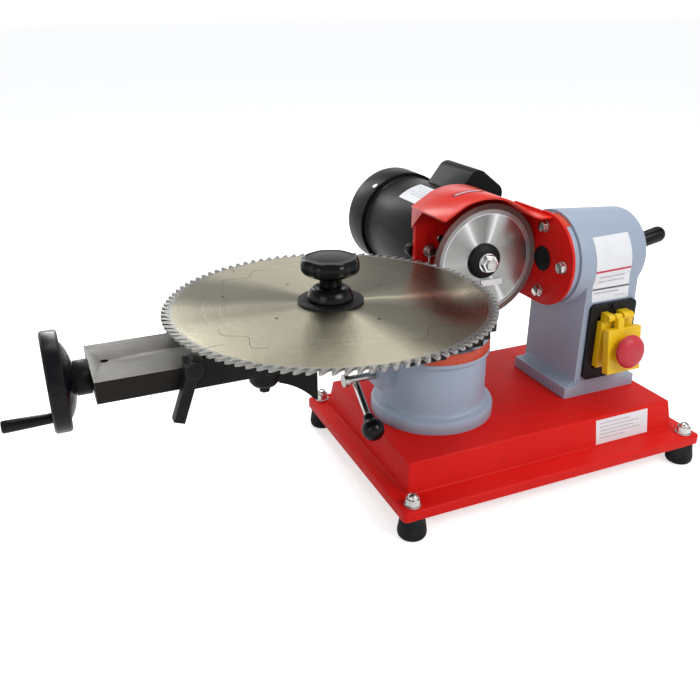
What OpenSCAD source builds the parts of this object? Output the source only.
// Saw blade sharpener: a bench grinder head with a dish wheel beside a swivelling arm that
// holds a circular saw blade flat. All sizes in millimetres, X along the base, Z up,
// origin on the bench below the middle of the base.

/* [Base] */
// Distance from the column's foot to the platform's end
column_edge = 10.5; // [8:0.5:14]
// Distance from the pedestal's foot to the platform's end
pedestal_edge = 8.5; // [6:0.5:14]
// Width of the base flange
base_w = 258; // [240:1:290]
// Height of the rubber feet
foot_h = 24; // [18:1:30]
// Largest radius of a foot
foot_r = 14.5; // [13:0.5:17]
// Height of the turned-down rim
rim_h = 10.5; // [9:0.5:14]
// Height of the platform over the underside of the rim
platform_h = 42; // [38:1:52]
// Distance from the flange end to the corner bolts
bolt_in_x = 14; // [12:0.5:16]
// Distance from the flange side to the corner bolts
bolt_in_y = 11; // [10:0.5:14]
// Sheet thickness of the base
sheet_t = 3; // [2:0.5:4]
// Distance from the flange end to the platform
platform_in_x = 20.5; // [18:0.5:24]
// Distance from the front edge to the platform
platform_in_front = 32; // [26:1:36]
// Distance from the back edge to the platform
platform_in_back = 31; // [26:1:36]

/* [Turret] */
// Radius of the column foot
column_foot_r = 66; // [62:1:70]
// Radius of the column
column_r = 56; // [52:1:58]
// Height of the column
column_h = 70.5; // [60:0.5:72]
// Radius of the turret's spigot
spigot_r = 30; // [24:1:34]
// Height of the turret cap over the column
cap_h = 15.7; // [14:0.1:16]
// Height of the clamp bolt over the platform
clamp_h = 50; // [46:1:56]

/* [Arm] */
// Middle line of the bar in front of the turret axis
bar_y = -45; // [-50:1:-42]
// Length of the guide bar
bar_l = 367.5; // [330:0.5:400]
// Width of the guide bar
bar_w = 78; // [70:1:84]
// Thickness of the guide bar
bar_t = 19; // [18:0.5:24]
// Height of the block between turret and bar
riser_h = 29.8; // [28:0.1:36]
// Distance the bar runs past the turret axis
bar_past = 20; // [10:1:20]
// Radius of the handwheel
handwheel_r = 42; // [36:1:46]
// Radius of the lead screw
screw_r = 5; // [4:0.5:5]

/* [Saw blade] */
// Radius of the saw blade over its teeth
blade_r = 150; // [146:1:150]
// Thickness of the saw blade
blade_t = 2.4; // [1.8:0.1:3]
// Number of teeth
teeth = 100; // [80:20:120]
// Depth of the gullets
gullet = 7.6; // [6:0.1:9]
// Distance from the turret axis to the middle of the blade
blade_x = 134.3; // [134:0.1:150]
// Radius of the arbor
arbor_r = 5; // [4:0.5:6]
// Radius of the star knob
knob_r = 27.5; // [24:0.5:32]

/* [Grinding head] */
// Height of the tilt axis over the platform
head_h = 151; // [148:1:160]
// Distance from the turret axis to the spindle
spindle_dx = 67.7; // [67.5:0.1:75]
// Distance of the wheel's face behind the tilt axis
wheel_y = 14; // [12:1:18]
// Radius of the grinding wheel
wheel_r = 62.5; // [60:0.5:62.5]
// Place of the motor plate behind the tilt axis
plate_y = 54; // [50:1:60]
// Thickness of the motor plate
plate_t = 6; // [5:0.5:8]
// Radius of the motor
motor_r = 57; // [54:1:60]
// Length of the motor body
motor_l = 147; // [130:1:170]
// Length of the fan cowl
cowl_l = 35; // [30:1:45]
// Radius of the tilt disc
disc_r = 51; // [48:1:54]
// Distance from the turret axis to the face of the tilt disc
disc_dx = 130.6; // [128:0.1:134]

/* [Pedestal] */
// Length of the pedestal's foot and barrel
pedestal_l = 96; // [90:1:110]
// Depth of the pedestal's foot
pedestal_w = 95; // [88:1:100]
// Radius of the barrel at the disc end
barrel_r = 52; // [50:0.5:56]
// Radius of the sliding quill
quill_r = 30; // [24:1:32]
// Stroke of the head to each side
stroke = 5; // [2:1:5]
// Length of the feed handle
handle_l = 56; // [40:1:70]

/* [Switch] */
// Width of the switch plate
switch_w = 61; // [56:1:64]
// Height of the switch plate
switch_h = 88; // [80:1:92]
// Opening angle at which the cover rests
cover_rest = 8; // [4:1:12]

/* [Hidden] */
$fn = 96;

// Clearances
run_gap = 0.06;   // radial gap of a running fit
thread_gap = 0.05;  // radial gap of a screw in its own hole
slide_gap = 0.4;  // gap of a flat guide
seat_gap = 0.2;   // gap between faces that turn on each other

// Heights
z_flange = foot_h + rim_h;
z_platform = foot_h + platform_h;
z_column = z_platform + column_h;
z_cap = z_column + seat_gap + cap_h;
z_bar = z_cap + riser_h;
z_bar_top = z_bar + bar_t;
z_clamp = z_platform + clamp_h;
z_head = z_platform + head_h;
carriage_t = 9.6;
z_carriage = z_bar_top + slide_gap;
flange_h = 9.8;
z_blade = z_carriage + carriage_t + flange_h;
z_screw = z_bar + 8;

// Base
rim_chamfer = 3.5;
draft_x = 4;
draft_y = 5.5;
ring_step = 10.9;
foot_step = 0.5;
platform_l = column_edge + column_foot_r + disc_dx + ring_step + foot_step + pedestal_l + pedestal_edge;
base_l = platform_l + 2 * platform_in_x;
plat_x0 = -platform_l / 2;
plat_x1 = platform_l / 2;
turret_x = plat_x0 + column_edge + column_foot_r;
plat_y0 = -base_w / 2 + platform_in_front;
plat_y1 = base_w / 2 - platform_in_back;
bolt_r = 4;
bolt_x = base_l / 2 - bolt_in_x;
bolt_y = base_w / 2 - bolt_in_y;
washer_r = 8.5;
washer_t = 1.6;
nut_r = 7.5;
nut_h = 6.5;

// Pedestal
barrel_x0 = turret_x + disc_dx + ring_step;
barrel_x1 = barrel_x0 + pedestal_l - 1;
foot_x0 = barrel_x0 + foot_step;
foot_t = 13;
web_x0 = foot_x0 + 15;
web_x1 = foot_x0 + 82;
barrel_r1 = barrel_r - 5.5;
web_w = 2 * barrel_r1 - 1;
quill_bore = quill_r + run_gap;
ring_r = disc_r - 2;
ring_t = 8.5;
ring_seat = stroke + 4;
cap_plate_t = 4;
end_round = 10;
end_wall = 11;
cap_r = barrel_r1 - end_round - 1;
cap_screw_at = cap_r - 5;
fillet = 9;
rod_r = 6;
handle_r = 9.2;
handle_x0 = barrel_x1 + stroke + 3;
handle_tilt = 11;

// Tilt disc and head
disc_x = turret_x + disc_dx;
disc_t = 3;
ring_x = disc_x + disc_t + seat_gap;
tilt_bolt_at = 36;
spindle_x = turret_x + spindle_dx;
plate_x0 = spindle_x - wheel_r - 1.5;
plate_back = plate_y + plate_t;
hood_y0 = -10;
hood_t = 2;
hood_r = 70.5;
hood_cx = spindle_x - 17.7;
hood_cz = z_head + 5;
hood_foot = z_head + 57;
hood_x0 = plate_x0 - 3;
hood_tail_x = spindle_x + 41;
hood_tail_z = z_head + 51;

// Motor
shell_t = 3;
bell_t = 11;
shell_y0 = plate_back + bell_t;
shell_y1 = shell_y0 + motor_l - 2 * bell_t;
motor_y1 = shell_y1 + bell_t;
shaft_r = 7;
bearing_r = 17.5;
rotor_r = 30;
cowl_r = motor_r + 4;
cowl_t = 2;
cowl_y0 = motor_y1 - 4;
box_w = 52;
box_h = 88;
box_l = 72;
box_y0 = plate_back + 34;
box_turn = 38;

// Wheel
wheel_edge = 1.2;
wheel_core_t = 5;
flange_r = 19;

// Blade and arbor
blade_cx = turret_x - blade_x;
tooth_phase = 21.5;
pitch = 360 / teeth;
land = 1.2;
hook_back = 1.05;
blade_bore = 15;
washer_top = z_blade + blade_t + 2;
cone_h = 12.5;
knob_z = washer_top + cone_h - 3 + 0.3;
knob_neck = 12.8;
knob_h = 17;
arbor_top = knob_z + knob_neck + knob_h - 6;

// Arm
bar_x1 = turret_x + bar_past;
bar_x0 = bar_x1 - bar_l;
bar_y0 = bar_y - bar_w / 2;
channel_w = 25.6;
channel_h = 15;
channel_x0 = bar_x0 + 12;
channel_x1 = blade_cx + 45;
travel = 60;
slot_w = 12.8;
hub_r = 34;
hub_h = 7.5;
block_x0 = turret_x - 115;
block_x1 = turret_x - 61;
leg_x = blade_cx - 17;
boss_x = blade_cx - 66;
boss_h = 30;
leg_h = 52;
bush_r = 14.6;
bush_l = 12.4;
wheel_x1 = bar_x0 - bush_l - 0.4;
rim_w = 14;
crank_at = 32;
crank_l = 38;

// Switch
plate_front = -web_w / 2;
plate_mid_x = foot_x0 + 51.5;
plate_mid_z = z_platform + 64;
plate_pl_t = 4;
frame_w = 42;
frame_h = 60;
frame_t = 8;
cover_t = 9;
hinge_lugs = [[-13, 4], [10, 6.5]];
tongue_x = -3.5;
tongue_w = 8;
mushroom_r = 18.3;
mushroom_drop = 35;
hinge_z = plate_mid_z + 31;
hinge_y = plate_front - plate_pl_t - frame_t;

grey = "#a9b2c4";
red = "#d8201a";
black = "#1c1c1f";
steel = "#b9b9b4";
yellow = "#f2b705";

// ---- helpers ----
module zcyl(z0, z1, r, x = 0, y = 0) { translate([x, y, z0]) cylinder(h = z1 - z0, r = r); }
module ycyl(y0, y1, r, x = 0, z = 0) {
  translate([x, y1, z]) rotate([90, 0, 0]) cylinder(h = y1 - y0, r = r);
}
module xcyl(x0, x1, r, y = 0, z = 0) {
  translate([x0, y, z]) rotate([0, 90, 0]) cylinder(h = x1 - x0, r = r);
}
module box(x0, x1, y0, y1, z0, z1) { translate([x0, y0, z0]) cube([x1 - x0, y1 - y0, z1 - z0]); }
module hexz(z0, z1, flats, x = 0, y = 0) {
  translate([x, y, z0]) cylinder(h = z1 - z0, r = flats / cos(30), $fn = 6);
}
module hexx(x0, x1, flats, y = 0, z = 0) {
  translate([x0, y, z]) rotate([0, 90, 0]) cylinder(h = x1 - x0, r = flats / cos(30), $fn = 6);
}
module hexy(y0, y1, flats, x = 0, z = 0) {
  translate([x, y1, z]) rotate([90, 0, 0]) cylinder(h = y1 - y0, r = flats / cos(30), $fn = 6);
}
// Rounded rectangle about the middle
module rounded(w, h, r) {
  square([w - 2 * r, h], center = true);
  square([w, h - 2 * r], center = true);
  for (sx = [-1, 1], sy = [-1, 1]) translate([sx * (w / 2 - r), sy * (h / 2 - r)]) circle(r);
}
// Outline in X and Z, drawn from y0 to y1
module profile_xz(y0, y1) { translate([0, y1, 0]) rotate([90, 0, 0]) linear_extrude(y1 - y0) children(); }
// Outline in Y and Z, drawn from x0 to x1
module profile_yz(x0, x1) { translate([x0, 0, 0]) rotate([90, 0, 90]) linear_extrude(x1 - x0) children(); }
// Block with sloping sides
module drafted(x0, x1, y0, y1, z0, z1, dx, dy) {
  intersection() {
    profile_xz(y0 - dy, y1 + dy) polygon([[x0 - dx, z0], [x1 + dx, z0], [x1, z1], [x0, z1]]);
    profile_yz(x0 - dx, x1 + dx) polygon([[y0 - dy, z0], [y1 + dy, z0], [y1, z1], [y0, z1]]);
  }
}
// Rectangle in plan with cut corners
module plan(l, w, cut) {
  polygon([
    [-l / 2 + cut, -w / 2], [l / 2 - cut, -w / 2], [l / 2, -w / 2 + cut], [l / 2, w / 2 - cut],
    [l / 2 - cut, w / 2], [-l / 2 + cut, w / 2], [-l / 2, w / 2 - cut], [-l / 2, -w / 2 + cut]
  ]);
}
module at_corners() { for (sx = [-1, 1], sy = [-1, 1]) translate([sx * bolt_x, sy * bolt_y, 0]) children(); }
module at_column_screws() { for (a = [30, 150, 270]) translate([turret_x, 0, 0]) rotate(a) translate([48, 0, 0]) children(); }
module at_pedestal_screws() {
  for (x = [foot_x0 + 7.5, foot_x0 + pedestal_l - 6.5], y = [-1, 1]) translate([x, y * (pedestal_w / 2 - 9), 0]) children();
}

// ---- base ----
module base_pan() color(red) difference() {
  union() {
    translate([0, 0, foot_h]) linear_extrude(rim_h) plan(base_l, base_w, rim_chamfer);
    drafted(plat_x0, plat_x1, plat_y0, plat_y1, z_flange, z_platform, draft_x, draft_y);
  }
  difference() {
    translate([0, 0, foot_h - 1]) linear_extrude(rim_h + 1 - sheet_t)
      plan(base_l - 2 * sheet_t, base_w - 2 * sheet_t, rim_chamfer);
  }
  drafted(plat_x0 + sheet_t, plat_x1 - sheet_t, plat_y0 + sheet_t, plat_y1 - sheet_t,
          z_flange - sheet_t - 1, z_platform - sheet_t, draft_x, draft_y);
  at_corners() zcyl(foot_h, z_flange + 1, bolt_r + thread_gap);
  at_column_screws() zcyl(z_platform - sheet_t - 1, z_platform + 1, bolt_r + thread_gap);
  at_pedestal_screws() zcyl(z_platform - sheet_t - 1, z_platform + 1, bolt_r + thread_gap);
}
module feet() color(black) at_corners() difference() {
  rotate_extrude() polygon([
    [0, 0], [foot_r - 3.4, 0], [foot_r - 1.6, 1.2], [foot_r - 0.4, 3.2], [foot_r, 6], [foot_r - 0.3, 9],
    [foot_r - 2.2, foot_h - 3], [foot_r - 2.2, foot_h],
    [foot_r - 7, foot_h], [foot_r - 7, z_flange - sheet_t], [0, z_flange - sheet_t]
  ]);
  zcyl(-1, 8, nut_r + 1);
  zcyl(0, z_flange, bolt_r + thread_gap);
}
module corner_bolts() color(steel) at_corners() {
  hexz(2.7, 8, 6.5);
  zcyl(8, z_flange + washer_t + nut_h + 1, bolt_r);
  translate([0, 0, z_flange + washer_t + nut_h + 0.05]) rotate_extrude()
    polygon([[0, 0], [5.4, 0], [5.3, 1.4], [4.6, 2.9], [3.2, 4.1], [1.6, 4.7], [0, 4.8]]);
  difference() {
    union() {
      zcyl(z_flange, z_flange + washer_t, washer_r);
      hexz(z_flange + washer_t, z_flange + washer_t + nut_h, 6.5);
    }
    zcyl(z_flange - 1, z_flange + washer_t + nut_h + 1, bolt_r + thread_gap);
  }
}

// ---- column and clamp ----
module column() color(grey) difference() {
  union() {
    translate([turret_x, 0, z_platform]) rotate_extrude() polygon([
      [0, 0], [column_foot_r, 0], [column_foot_r, 10], [column_foot_r - 1.2, 12.6],
      [column_foot_r - 4, 14], [column_r + 3, 14.6], [column_r + 1, 17], [column_r + 0.6, 22],
      [column_r, column_h], [0, column_h]
    ]);
    box(turret_x - 69, turret_x - spigot_r - 5, -14, 14, z_clamp - 12, z_clamp + 12);
  }
  zcyl(z_column - 47, z_column + 1, spigot_r + run_gap, turret_x);
  zcyl(z_platform - 1, z_column - 52, spigot_r - 6, turret_x);
  xcyl(turret_x - 72, turret_x, clamp_r + run_gap, 0, z_clamp);
  at_column_screws() zcyl(z_platform - 1, z_platform + 18, bolt_r + thread_gap);
}
module column_screws() color(steel) at_column_screws() {
  hexz(z_platform - sheet_t - 5.3, z_platform - sheet_t, 6.5);
  zcyl(z_platform - sheet_t, z_platform + 16, bolt_r);
}
clamp_r = 4.3;
clamp_x = turret_x - 91.5;
lever_dx = 0.7;
lever_dy = -45;
lever_dz = -36;
ball_r = 11.6;
lever_len = norm([lever_dx, lever_dy, lever_dz]);
module along_lever() {
  translate([clamp_x, 0, z_clamp]) rotate([0, acos(lever_dz / lever_len), atan2(lever_dy, lever_dx)]) children();
}
module clamp_bolt() color(steel) difference() {
  union() {
    xcyl(clamp_x - 12.5, clamp_x - 7.5, 6.8, 0, z_clamp);
    xcyl(clamp_x - 7.5, turret_x - spigot_r - 0.3, clamp_r, 0, z_clamp);
  }
  along_lever() zcyl(-1, 14, 2.5 + thread_gap);
}
module clamp_rod() color(steel) along_lever() {
  zcyl(-0.5, 5.2, 2.5);
  zcyl(5.2, lever_len - 2, 3.6);
}
module clamp_ball() color(black) along_lever() difference() {
  union() {
    translate([0, 0, lever_len]) sphere(ball_r);
    translate([0, 0, lever_len - 16]) cylinder(h = 9, r1 = 5, r2 = 7);
  }
  zcyl(0, lever_len - 1.9, 3.6 + thread_gap);
}

// ---- turret, arm and bar ----
module turret_head() color(grey) difference() {
  union() {
    zcyl(z_column - 44, z_column + seat_gap, spigot_r, turret_x);
    zcyl(z_column + seat_gap, z_column + seat_gap + 4, column_r + 3.4, turret_x);
    zcyl(z_column + seat_gap + 4, z_cap, column_r + 1.8, turret_x);
  }
  for (a = [45:90:315]) translate([turret_x, 0, 0]) rotate(a) zcyl(z_cap - 14, z_cap + 1, 3 + thread_gap, 24, 0);
}
module scale_band() color("#e2531c") difference() {
  zcyl(z_column + seat_gap + 4, z_cap - 0.4, column_r + 3, turret_x);
  zcyl(z_column, z_cap + 1, column_r + 1.8 + thread_gap, turret_x);
}
module support_arm() color(black) difference() {
  union() {
    zcyl(z_cap, z_cap + hub_h, hub_r, turret_x);
    box(turret_x - 65, bar_x1 - 1, bar_y + 4 - 24, bar_y + 40, z_cap + hub_h - 0.5, z_bar);
    box(turret_x - 65, turret_x - 22, bar_y + 4 - 24, bar_y + 40, z_cap, z_cap + hub_h);
    box(leg_x, bar_x1 - 1, bar_y0 + 8, bar_y0 + bar_w - 8, z_bar - 11, z_bar);
    box(block_x0, block_x1, bar_y - 17, bar_y + 33, z_bar - 26, z_bar - 10);
    profile_xz(bar_y - 7, bar_y + 7) difference() {
      polygon([[leg_x - 37, z_bar], [leg_x - 37, z_bar - leg_h], [leg_x, z_bar - leg_h], [leg_x, z_bar]]);
      translate([leg_x - 58.8, z_bar - leg_h - 42.2]) circle(70);
    }
    translate([boss_x, bar_y, z_bar - boss_h]) rotate_extrude()
      polygon([[0, 0], [8, 0], [11, 1.4], [13.4, 4.6], [14, 9], [14, boss_h], [0, boss_h]]);
    box(boss_x, leg_x, bar_y0 + 14, bar_y0 + bar_w - 14, z_bar - 8, z_bar);
  }
  for (a = [45:90:315]) translate([turret_x, 0, 0]) rotate(a) {
    zcyl(z_cap - 1, z_cap + hub_h + 1, 3.2, 24, 0);
    zcyl(z_cap + 4, z_bar + 1, 5.7, 24, 0);
  }
  at_arm_screws() zcyl(z_bar - 12, z_bar + 1, 3 + thread_gap);
  zcyl(z_bar - boss_h - 1, z_bar + 1, 3 + thread_gap, boss_x, bar_y);
}
module at_arm_screws() { for (y = [-22, 22]) translate([turret_x - 130, bar_y + y, 0]) children(); }
module arm_screws() color(black) {
  for (a = [45:90:315]) translate([turret_x, 0, 0]) rotate(a) {
    zcyl(z_cap + 4, z_cap + 7, 5.2, 24, 0);
    zcyl(z_cap - 12, z_cap + 4, 3, 24, 0);
  }
  at_arm_screws() {
    hexz(z_bar - 15, z_bar - 11, 4.6);
    zcyl(z_bar - 11, z_bar + 3.6, 3);
  }
  hexz(z_bar - boss_h - 6, z_bar - boss_h, 4.4, boss_x, bar_y);
  zcyl(z_bar - boss_h, z_bar - 1, 3, boss_x, bar_y);
}
module guide_bar() color(steel) difference() {
  box(bar_x0, bar_x1, bar_y0, bar_y0 + bar_w, z_bar, z_bar_top);
  box(channel_x0, channel_x1, bar_y - channel_w / 2, bar_y + channel_w / 2, z_bar - 1, z_bar + channel_h);
  box(blade_cx - travel - 8, blade_cx + 8, bar_y - slot_w / 2, bar_y + slot_w / 2, z_bar, z_bar_top + 1);
  xcyl(bar_x0 - 1, channel_x1 + 15, screw_r + run_gap, bar_y, z_screw);
  zcyl(z_bar_top - 5, z_bar_top + 1, 3.4, bar_x0 + 12.5, bar_y);
  at_arm_screws() zcyl(z_bar - 1, z_bar + 4, 3 + thread_gap);
}
module screw_bush() color(black) difference() {
  xcyl(bar_x0 - bush_l, bar_x0, bush_r, bar_y, z_screw);
  xcyl(bar_x0 - bush_l - 1, bar_x0 + 1, screw_r + run_gap, bar_y, z_screw);
}

// ---- lead screw and handwheel ----
module lead_screw() color(steel) xcyl(wheel_x1 - rim_w - 2, channel_x1 + 12, screw_r, bar_y, z_screw);
module handwheel() color(black) difference() {
  union() {
    translate([wheel_x1, bar_y, z_screw]) rotate([0, -90, 0]) rotate_extrude() polygon([
      [0, 0], [16, 0], [24, 2.2], [30, 5.2], [handwheel_r - 10, 7], [handwheel_r - 1.6, 7], [handwheel_r, 8.6],
      [handwheel_r, 7 + rim_w - 1.6], [handwheel_r - 1.6, 7 + rim_w], [handwheel_r - 11, 7 + rim_w],
      [handwheel_r - 12, 14], [14, 11], [12, 7 + rim_w - 3], [0, 7 + rim_w - 3]
    ]);
    xcyl(wheel_x1 - 7 - rim_w - crank_l + 0.4, wheel_x1 - 12, 2.5, bar_y, z_screw - crank_at);
    xcyl(wheel_x1 - 7 - rim_w, wheel_x1 - 9, 6, bar_y, z_screw - crank_at);
  }
  xcyl(wheel_x1 - 60, wheel_x1 + 1, screw_r + thread_gap, bar_y, z_screw);
}
module crank_handle() color(black) difference() {
  translate([wheel_x1 - 7 - rim_w - 0.3, bar_y, z_screw - crank_at]) rotate([0, -90, 0]) rotate_extrude()
    polygon([[0, 0], [4.4, 0], [4.6, 8], [5.3, crank_l - 4], [5.3, crank_l], [4.3, crank_l + 1.2], [0, crank_l + 1.2]]);
  xcyl(wheel_x1 - 7 - rim_w - crank_l, wheel_x1, 2.5 + run_gap, bar_y, z_screw - crank_at);
}

// ---- carriage ----
lock_x = blade_cx - 138.7;
lock_z = z_bar + 22.4;
cheek_t = 8;
module carriage() color(black) difference() {
  union() {
    box(blade_cx - 56, blade_cx + 56, bar_y0 - slide_gap - cheek_t, bar_y0 + bar_w + slide_gap + cheek_t,
        z_carriage, z_carriage + carriage_t);
    box(lock_x - 6, blade_cx + 56, bar_y0 - slide_gap - cheek_t, bar_y0 - slide_gap, z_bar + 2, z_carriage + carriage_t);
    box(blade_cx - 56, blade_cx + 56, bar_y0 + bar_w + slide_gap, bar_y0 + bar_w + slide_gap + cheek_t,
        z_bar + 2, z_carriage + carriage_t);
    zcyl(z_carriage + carriage_t, z_blade, 30, blade_cx, bar_y);
  }
  zcyl(z_carriage - 1, z_carriage + 7.6, 6 + thread_gap, blade_cx, bar_y);
  zcyl(z_carriage + 7, z_blade + 1, arbor_r + thread_gap, blade_cx, bar_y);
  ycyl(bar_y0 - 20, bar_y0, 4 + run_gap, lock_x, lock_z);
}
module lead_nut() color("#b58a3c") difference() {
  union() {
    box(blade_cx - 14, blade_cx + 14, bar_y - channel_w / 2 + slide_gap, bar_y + channel_w / 2 - slide_gap,
        z_bar + 0.6, z_bar + channel_h - slide_gap);
    zcyl(z_bar + channel_h - 1, z_carriage + 7.5, 6, blade_cx, bar_y);
  }
  xcyl(blade_cx - 20, blade_cx + 20, screw_r + run_gap, bar_y, z_screw);
}
module arbor() color(steel) zcyl(z_carriage + 7.6, arbor_top, arbor_r, blade_cx, bar_y);
lock_y = bar_y0 - slide_gap - cheek_t - 0.1;
module lock_lever() color(black) {
  ycyl(lock_y - 0.1, bar_y0 - 0.3, 4, lock_x, lock_z);
  ycyl(lock_y - 10, lock_y, 7, lock_x, lock_z);
  translate([lock_x, lock_y - 9.4, lock_z]) rotate([0, 20, 0]) translate([-4.6, 0, -46]) cube([9.2, 9.2, 57]);
}

// ---- saw blade ----
function polar(r, a) = [r * cos(a), r * sin(a)];
function tooth(a) = [
  polar(blade_r, a),
  polar(blade_r - 0.5, a + land),
  polar(blade_r - 3.5, a + land + 0.2 * pitch),
  polar(blade_r - gullet + 0.6, a + land + 0.55 * pitch),
  polar(blade_r - gullet, a + pitch + 0.25),
  polar(blade_r - gullet + 1.3, a + pitch + hook_back)
];
module saw_blade() color("#b8b49a") translate([blade_cx, bar_y, z_blade]) difference() {
  linear_extrude(blade_t) polygon([for (i = [0:teeth - 1]) each tooth(tooth_phase + i * pitch)]);
  zcyl(-1, blade_t + 1, blade_bore);
  for (a = [20:90:290]) rotate(a) zcyl(-1, blade_t + 1, 1.6, 62, 0);
  for (a = [60:90:330]) rotate(a) zcyl(-1, blade_t + 1, 1.3, 100, 0);
}
module clamp_washer() color(black) difference() {
  zcyl(z_blade + blade_t, washer_top, 30, blade_cx, bar_y);
  zcyl(z_blade, washer_top + 1, blade_bore, blade_cx, bar_y);
}
module centring_cone() color(black) translate([blade_cx, bar_y, 0]) difference() {
  translate([0, 0, washer_top]) rotate_extrude() polygon([
    [0, z_blade - washer_top + 0.2], [blade_bore - 0.1, z_blade - washer_top + 0.2], [blade_bore - 0.1, 0], [20.6, 0], [21, 1.5], [20.2, 4.5], [17.4, 9.5], [16.4, cone_h - 1], [15.4, cone_h], [13.6, cone_h],
    [12.8, cone_h - 2.8], [0, cone_h - 3]
  ]);
  zcyl(z_blade, washer_top + cone_h + 1, arbor_r + run_gap);
}
module star_knob() color(black) translate([blade_cx, bar_y, knob_z]) difference() {
  union() {
    rotate_extrude() polygon([[0, 0], [9, 0], [10.5, 1.5], [10.5, knob_neck], [0, knob_neck]]);
    difference() {
      translate([0, 0, knob_neck]) rotate_extrude() polygon([
        [0, 0], [knob_r - 7, 0], [knob_r - 1.5, 3.5], [knob_r, 7], [knob_r - 0.6, knob_h - 4],
        [knob_r - 4, knob_h - 1], [knob_r - 9, knob_h], [0, knob_h]
      ]);
      for (i = [0:7]) rotate(22.5 + i * 45) zcyl(0, knob_neck + knob_h, 9, knob_r + 6.2, 0);
    }
  }
  zcyl(-1, arbor_top - knob_z + 0.3, arbor_r + run_gap);
}

// ---- pedestal ----
module pedestal() color(grey) difference() {
  union() {
    box(foot_x0, foot_x0 + pedestal_l, -pedestal_w / 2, pedestal_w / 2, z_platform, z_platform + foot_t);
    drafted(web_x0, web_x1, -web_w / 2, web_w / 2, z_platform + foot_t - 1, z_head, 2, 0);
    box(web_x0 + 1, web_x1 - 1, -pedestal_w / 2, -web_w / 2 + 1, z_platform + foot_t - 1, z_platform + foot_t + 5);
    translate([barrel_x0, 0, z_head]) rotate([0, 90, 0]) rotate_extrude() polygon(concat(
      [[0, 0], [barrel_r, 0]],
      [for (a = [0:15:90]) [barrel_r1 - end_round, pedestal_l - 1 - end_round] + polar(end_round, a)],
      [[0, pedestal_l - 1]]
    ));
    profile_xz(-web_w / 2 + 2, web_w / 2 - 2) difference() {
      translate([web_x0 - fillet - 1.5, z_platform + foot_t - 0.5]) square([fillet + 3, fillet + 0.5]);
      translate([web_x0 - fillet - 1.5, z_platform + foot_t + fillet]) circle(fillet);
    }
  }
  xcyl(barrel_x0 - 1, barrel_x0 + ring_seat, ring_r + slide_gap, 0, z_head);
  xcyl(barrel_x0, barrel_x1 - end_wall, quill_bore, 0, z_head);
  xcyl(barrel_x1 - end_wall - 1, barrel_x1 + 1, rod_r + 1, 0, z_head);
  xcyl(barrel_x1 - cap_plate_t, barrel_x1 + 1, cap_r, 0, z_head);
  for (a = [0, 120, 240]) translate([0, 0, z_head]) rotate([a, 0, 0]) xcyl(barrel_x1 - 9, barrel_x1, 2 + thread_gap, cap_screw_at, 0);
  box(plate_mid_x - 24, plate_mid_x + 24, -pedestal_w, web_w / 2 - 10, plate_mid_z - 36, plate_mid_z + 34);
  box(web_x0 + 8, web_x1 - 8, -web_w / 2 + 9, web_w / 2 - 9, z_platform - 1, plate_mid_z - 35);
  for (s = [-1, 1]) ycyl(-web_w, -web_w / 2 + 8, 2 + thread_gap, plate_mid_x, plate_mid_z + s * 39.5);
  at_pedestal_screws() zcyl(z_platform - 1, z_platform + foot_t - 2, bolt_r + thread_gap);
}
module pedestal_screws() color(steel) at_pedestal_screws() {
  hexz(z_platform - sheet_t - 5.3, z_platform - sheet_t, 6.5);
  zcyl(z_platform - sheet_t, z_platform + foot_t - 2.5, bolt_r);
}
module end_cap() color(grey) difference() {
  union() {
    xcyl(barrel_x1 - cap_plate_t, barrel_x1, cap_r - thread_gap, 0, z_head);
    for (a = [0, 120, 240]) translate([0, 0, z_head]) rotate([a, 0, 0]) xcyl(barrel_x1 - 8.9, barrel_x1 + 1.5, 2, cap_screw_at, 0);
  }
  xcyl(barrel_x1 - 9, barrel_x1 + 1, rod_r + run_gap, 0, z_head);
}
module quill() color(steel) difference() {
  xcyl(ring_x + ring_t, barrel_x1 - end_wall - stroke - 1, quill_r, 0, z_head);
  xcyl(ring_x, barrel_x1 - end_wall - stroke - 9, quill_r - 8, 0, z_head);
  xcyl(ring_x, barrel_x1, rod_r + thread_gap, 0, z_head);
}
module scale_ring() color(grey) difference() {
  xcyl(ring_x, ring_x + ring_t, ring_r, 0, z_head);
  difference() {
    xcyl(ring_x - 1, ring_x + ring_t - 1, tilt_bolt_at + 4.6, 0, z_head);
    xcyl(ring_x - 2, ring_x + ring_t, tilt_bolt_at - 4.6, 0, z_head);
  }
}
module feed_rod() color(steel) xcyl(barrel_x1 - end_wall - stroke - 9, handle_x0 + 20, rod_r, 0, z_head);
module at_handle() { translate([handle_x0, 0, z_head]) rotate([0, 90 - handle_tilt, 0]) children(); }
module feed_handle() color(black) difference() {
  union() {
    at_handle() cylinder(h = handle_l - handle_r - 2, r1 = handle_r - 0.8, r2 = handle_r);
    at_handle() translate([0, 0, handle_l - handle_r - 2]) sphere(handle_r);
  }
  xcyl(handle_x0 - 3, handle_x0 + 20, rod_r + thread_gap, 0, z_head);
}

// ---- switch ----
module switch_plate() color(black) difference() {
  translate([plate_mid_x, plate_front, plate_mid_z]) rotate([90, 0, 0]) linear_extrude(plate_pl_t)
    rounded(switch_w, switch_h, 6);
  box(plate_mid_x - 21, plate_mid_x + 21, plate_front - 9, plate_front + 1, plate_mid_z - 32, plate_mid_z + 30);
  for (s = [-1, 1]) ycyl(-web_w, 0, 2 + thread_gap, plate_mid_x, plate_mid_z + s * 39.5);
}
module switch_body() color(black) {
  box(plate_mid_x - 23.5, plate_mid_x + 23.5, plate_front, plate_front + 38, plate_mid_z - 35, plate_mid_z + 33);
  for (s = [-1, 1]) {
    ycyl(plate_front - plate_pl_t, plate_front + 7, 2, plate_mid_x, plate_mid_z + s * 39.5);
    ycyl(plate_front - plate_pl_t - 1.6, plate_front - plate_pl_t, 3.4, plate_mid_x, plate_mid_z + s * 39.5);
  }
}
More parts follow.
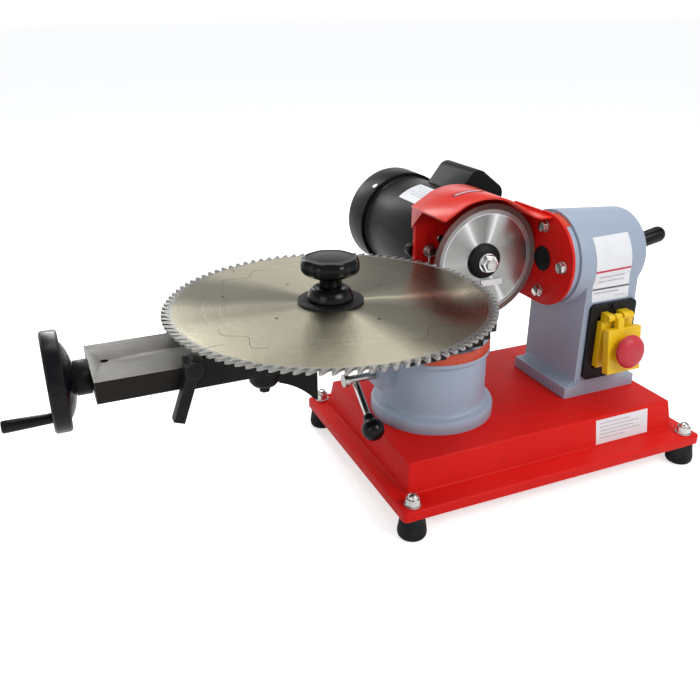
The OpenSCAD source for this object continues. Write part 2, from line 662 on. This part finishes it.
lug_r = 4;
pin_r = 1.5;
module switch_frame() color(yellow) difference() {
  union() {
    box(plate_mid_x - frame_w / 2, plate_mid_x + frame_w / 2, hinge_y, hinge_y + frame_t,
        hinge_z - frame_h + 2, hinge_z - 5.5);
    for (l = hinge_lugs) translate([plate_mid_x + l[0], 0, 0]) {
      box(-l[1], l[1], hinge_y - 2, hinge_y + frame_t, hinge_z - 4, hinge_z + lug_r);
      box(-l[1], l[1], hinge_y, hinge_y + frame_t, hinge_z - 6, hinge_z);
      xcyl(-l[1], l[1], lug_r, hinge_y - 2, hinge_z);
    }
  }
  for (z = [hinge_z - 18, hinge_z - 40]) ycyl(hinge_y - 1, hinge_y + frame_t + 1, 9 + slide_gap, plate_mid_x, z);
  xcyl(plate_mid_x - 30, plate_mid_x + 30, pin_r + run_gap, hinge_y - 2, hinge_z);
}
module start_button() color("#2b8a3e") ycyl(hinge_y + 0.5, hinge_y + frame_t - 0.2, 9, plate_mid_x, hinge_z - 18);
module stop_button() color("#b3121a") ycyl(hinge_y + 0.5, hinge_y + frame_t - 0.2, 9, plate_mid_x, hinge_z - 40);
module hinged() {
  translate([0, hinge_y - 2, hinge_z]) rotate([-cover_rest, 0, 0]) translate([0, -hinge_y + 2, -hinge_z]) children();
}
cover_front = hinge_y - 2 - cover_t;
module switch_cover() color(yellow) hinged() translate([plate_mid_x, 0, 0]) difference() {
  union() {
    box(-frame_w / 2 - 1, frame_w / 2 + 1, cover_front, hinge_y - 2, hinge_z - frame_h, hinge_z - 11);
    box(tongue_x - tongue_w / 2, tongue_x + tongue_w / 2, cover_front + 2, hinge_y - 2, hinge_z - 13, hinge_z);
    xcyl(tongue_x - tongue_w / 2, tongue_x + tongue_w / 2, lug_r, hinge_y - 2, hinge_z);
    xcyl(hinge_lugs[0][0] - 3, hinge_lugs[1][0] + 5.5, pin_r, hinge_y - 2, hinge_z);
  }
  box(-frame_w / 2 + 1.5, frame_w / 2 - 1.5, cover_front + 2.5, hinge_y, hinge_z - frame_h + 2.5, hinge_z - 13.5);
  ycyl(cover_front - 1, hinge_y, 5 + slide_gap, 0, hinge_z - mushroom_drop);
}
module stop_mushroom() color("#d02534") hinged() translate([plate_mid_x, 0, hinge_z - mushroom_drop]) {
  ycyl(cover_front - 6, cover_front + 6, 5);
  ycyl(cover_front + 3, cover_front + 6, 8);
  translate([0, cover_front - 5, 0]) rotate([90, 0, 0]) rotate_extrude() polygon([
    [0, 0], [mushroom_r - 6, 0], [mushroom_r - 0.8, 1.5], [mushroom_r, 3.5], [mushroom_r - 0.8, 6],
    [mushroom_r - 4, 9], [mushroom_r - 9.5, 11], [0, 11.8]
  ]);
}

// ---- grinding head ----
hood_a0 = 112;
hood_a1 = 58;
function hood_arc(r, n = 12) = [for (i = [0:n]) [hood_cx, hood_cz] + polar(r, hood_a0 + (hood_a1 - hood_a0) * i / n)];
hood_out = concat([[hood_x0, hood_foot]], hood_arc(hood_r), [[hood_tail_x, hood_tail_z], [hood_tail_x + 9, hood_tail_z - 3],
                  [disc_x - 0.1, hood_tail_z - 3]]);
hood_in = concat([[hood_x0 + 0.6, hood_foot - 1.9]], hood_arc(hood_r - hood_t),
                 [[hood_tail_x - 0.8, hood_tail_z - 1.9], [hood_tail_x + 8.6, hood_tail_z - 5], [disc_x - 0.1, hood_tail_z - 5]]);
function reversed(v) = [for (i = [len(v) - 1:-1:0]) v[i]];
module hood() color(red) {
  profile_xz(hood_y0, plate_back) polygon(concat(hood_out, reversed(hood_in)));
  profile_yz(hood_x0 + 0.6, hood_x0 + 0.6 + hood_t)
    polygon([[plate_back - 24, hood_foot - 1.5], [plate_back, hood_foot - 1.5], [plate_back, hood_foot - 24]]);
}
module head_bracket() color(red) difference() {
  union() {
    profile_yz(disc_x, disc_x + disc_t) {
      translate([0, z_head]) circle(disc_r);
      translate([0, z_head - disc_r]) square([plate_back, 2 * disc_r - 1]);
    }
    profile_xz(plate_y, plate_back) polygon(concat(
      [[plate_x0, z_head - disc_r], [plate_x0, hood_foot - 2.6]],
      [for (p = hood_in) if (p[0] > plate_x0 + 1 && p[0] < hood_tail_x + 9) p - [0, 0.2]],
      [[disc_x + 1, hood_tail_z - 5.2], [disc_x + 1, z_head - disc_r]]
    ));
  }
  ycyl(plate_y - 1, plate_back + 1, 22, spindle_x, z_head);
  at_tilt_bolts() xcyl(disc_x - 1, disc_x + disc_t + 1, bolt_r + thread_gap);
  xcyl(disc_x - 1, disc_x + disc_t + 1, 12 + thread_gap, 0, z_head);
  at_motor_screws() ycyl(plate_y - 1, plate_back + 1, 2.5 + thread_gap);
  ycyl(plate_y - 1, plate_back + 1, 3 + run_gap, finger_x, finger_z);
}
finger_x = spindle_x - 47.5;
finger_z = z_head + 8;
module at_tilt_bolts() {
  for (a = [0, 90, 180, 270]) translate([0, tilt_bolt_at * cos(a), z_head + tilt_bolt_at * sin(a)]) children();
}
module at_motor_screws() {
  for (a = [30, 150, 210, 330]) translate([spindle_x + 40 * cos(a), 0, z_head + 40 * sin(a)]) children();
}
module tilt_bolts() color(steel) at_tilt_bolts() {
  xcyl(disc_x, ring_x + ring_t - 1.4, bolt_r);
  difference() {
    xcyl(disc_x - 1.6, disc_x, 6.8);
    xcyl(disc_x - 2, disc_x + 1, bolt_r - 1);
  }
  hexx(disc_x - 6.4, disc_x - 1.6, 5.3);
}
module bracket_plug() color(black) {
  xcyl(disc_x - 1.2, disc_x, wheel_y - 0.4, 0, z_head);
  xcyl(disc_x, disc_x + disc_t - 0.5, 12, 0, z_head);
}
module motor_front_bell() color(black) difference() {
  union() {
    ycyl(plate_back, shell_y0, motor_r, spindle_x, z_head);
    for (a = [83:90:353]) translate([spindle_x, 0, z_head]) rotate([0, -a, 0]) ycyl(plate_back + 1, shell_y0 - 1, 7, motor_r + 5.5, 0);
  }
  ycyl(plate_back + 2, shell_y0 + 1, bearing_r + thread_gap, spindle_x, z_head);
  ycyl(plate_back - 1, shell_y0 + 1, shaft_r + 2, spindle_x, z_head);
  at_motor_screws() ycyl(plate_back - 1, plate_back + 8, 2.5 + thread_gap);
  ycyl(plate_back - 1, plate_back + 6, 5, finger_x, finger_z);
}
module motor_shell() color(black) difference() {
  ycyl(shell_y0, shell_y1, motor_r, spindle_x, z_head);
  ycyl(shell_y0 - 1, shell_y1 + 1, motor_r - shell_t, spindle_x, z_head);
}
module motor_rear_bell() color(black) difference() {
  ycyl(shell_y1, motor_y1, motor_r, spindle_x, z_head);
  ycyl(shell_y1 - 1, motor_y1 - 2, bearing_r + thread_gap, spindle_x, z_head);
  ycyl(shell_y1 - 1, motor_y1 + 1, shaft_r + 2, spindle_x, z_head);
}
module bearings() color(steel) {
  ring(plate_back + 2, shell_y0 - 0.5, bearing_r, shaft_r + 0.06);
  ring(shell_y1 + 0.5, motor_y1 - 2, bearing_r, shaft_r + 0.06);
}
module ring(y0, y1, r_out, r_in) {
  difference() {
    ycyl(y0, y1, r_out, spindle_x, z_head);
    ycyl(y0 - 1, y1 + 1, r_in, spindle_x, z_head);
  }
}
module stator() color("#8a5a2b") ring(shell_y0 + 14, shell_y1 - 14, motor_r - shell_t - thread_gap, rotor_r + 0.5);
module rotor() color(steel) ring(shell_y0 + 15, shell_y1 - 15, rotor_r, shaft_r + thread_gap);
module fan_cowl() color(black) {
  difference() {
    ycyl(cowl_y0, motor_y1 + cowl_l, cowl_r, spindle_x, z_head);
    ycyl(cowl_y0 - 1, motor_y1 + cowl_l - cowl_t, cowl_r - cowl_t, spindle_x, z_head);
    for (a = [0:30:330], r = [20, 32, 44])
      translate([spindle_x, 0, z_head]) rotate([0, -a, 0]) ycyl(motor_y1 + cowl_l - 5, motor_y1 + cowl_l + 1, 3.4, r, 0);
  }
  difference() {
    ring(motor_y1 - 4, motor_y1 - 0.2, cowl_r - cowl_t, motor_r + 0.05);
  }
}
module cooling_fan() color("#2a2a2d") {
  ring(motor_y1 + 4, motor_y1 + 22, 11, shaft_r - 1 + thread_gap);
  ring(motor_y1 + 4, motor_y1 + 6, 48, 11);
  for (a = [0:45:315]) translate([spindle_x, 0, z_head]) rotate([0, -a, 0]) box(9, 48, motor_y1 + 5.5, motor_y1 + 22, -1, 1);
}
module in_box() { translate([spindle_x, box_y0, z_head]) rotate([0, box_turn, 0]) children(); }
module box_outline(w, top, r) {
  intersection() {
    translate([0, top / 2]) rounded(w, top, r);
    translate([-w, motor_r - 20]) square([2 * w, top]);
  }
}
module capacitor_cover() color(black) difference() {
  in_box() translate([0, box_l, 0]) rotate([90, 0, 0]) linear_extrude(box_l) box_outline(box_w, box_h, 13);
  in_box() translate([0, box_l - 2.5, 0]) rotate([90, 0, 0]) linear_extrude(box_l - 5) box_outline(box_w - 5, box_h - 2.5, 11);
  ycyl(0, motor_y1, motor_r + thread_gap, spindle_x, z_head);
}
module capacitor() color("#3c3c42") in_box() {
  ycyl(6, box_l - 6, 13.4, 0, motor_r + 13.5);
}
module motor_screws() color(steel) at_motor_screws() {
  ycyl(plate_y - 3.5, plate_y, 4.4);
  ycyl(plate_y, plate_back + 7.5, 2.5);
}
module stop_screw() color(steel) {
  ycyl(plate_y - 1.5, plate_y, 7.2, finger_x, finger_z);
  ycyl(plate_y, plate_back + 4, 3, finger_x, finger_z);
  ycyl(plate_y - 9, plate_y - 6, 5, finger_x, finger_z);
  ycyl(plate_y - 6, plate_y - 1.5, 3, finger_x, finger_z);
}
module stop_finger() color(steel) difference() {
  union() {
    ycyl(plate_y - 5.8, plate_y - 1.7, 5.6, finger_x, finger_z);
    zcyl(finger_z - 22, finger_z - 4, 1.1, finger_x - 1, plate_y - 3.8);
  }
  ycyl(plate_y - 10, plate_y, 3 + run_gap, finger_x, finger_z);
}

// ---- spindle and wheel ----
module about_spindle() { translate([spindle_x, 0, z_head]) rotate([-90, 0, 0]) rotate_extrude() children(); }
module spindle() color(steel) {
  ycyl(wheel_y - 13.5, wheel_y + 10, 6, spindle_x, z_head);
  ycyl(wheel_y + 10, motor_y1 + 2, shaft_r, spindle_x, z_head);
  ycyl(motor_y1 + 2, motor_y1 + 24, shaft_r - 1, spindle_x, z_head);
}
module grinding_wheel() color("#c9c9c9") about_spindle() polygon([
  [16, wheel_y + 3.5], [20, wheel_y + 3.5], [wheel_r - 12.5, wheel_y], [wheel_r, wheel_y],
  [wheel_r, wheel_y + wheel_edge], [wheel_r - 10.5, wheel_y + wheel_core_t], [20, wheel_y + 3.5 + wheel_core_t],
  [16, wheel_y + 3.5 + wheel_core_t]
]);
module wheel_flanges() color(black) about_spindle() {
  polygon([[6 + thread_gap, wheel_y - 2.5], [14, wheel_y - 2.5], [flange_r, wheel_y + 1.2], [flange_r, wheel_y + 3.4],
           [15.9, wheel_y + 3.4], [15.9, wheel_y + 5.5], [6 + thread_gap, wheel_y + 5.5]]);
  polygon([[6 + thread_gap, wheel_y + 5.6], [15.9, wheel_y + 5.6], [15.9, wheel_y + 3.6 + wheel_core_t],
           [flange_r, wheel_y + 3.6 + wheel_core_t], [flange_r, wheel_y + 13], [shaft_r + thread_gap, wheel_y + 13],
           [shaft_r + thread_gap, wheel_y + 9.9], [6 + thread_gap, wheel_y + 9.9]]);
}
module wheel_nut() color(steel) difference() {
  union() {
    ycyl(wheel_y - 4.5, wheel_y - 2.5, 10.5, spindle_x, z_head);
    hexy(wheel_y - 11, wheel_y - 4.5, 8.5, spindle_x, z_head);
  }
  ycyl(wheel_y - 20, wheel_y, 6 + thread_gap, spindle_x, z_head);
}

base_pan();
feet();
corner_bolts();
column();
column_screws();
pedestal();
pedestal_screws();
end_cap();
switch_plate();
switch_body();
switch_frame();
start_button();
stop_button();
switch_cover();
stop_mushroom();
quill();
scale_ring();
feed_rod();
feed_handle();
head_bracket();
hood();
tilt_bolts();
bracket_plug();
motor_front_bell();
motor_shell();
motor_rear_bell();
fan_cowl();
stator();
bearings();
capacitor_cover();
capacitor();
motor_screws();
stop_screw();
stop_finger();
spindle();
rotor();
cooling_fan();
grinding_wheel();
wheel_flanges();
wheel_nut();
turret_head();
scale_band();
support_arm();
guide_bar();
screw_bush();
arm_screws();
clamp_bolt();
clamp_rod();
clamp_ball();
lead_screw();
handwheel();
crank_handle();
carriage();
lead_nut();
arbor();
lock_lever();
saw_blade();
clamp_washer();
centring_cone();
star_knob();
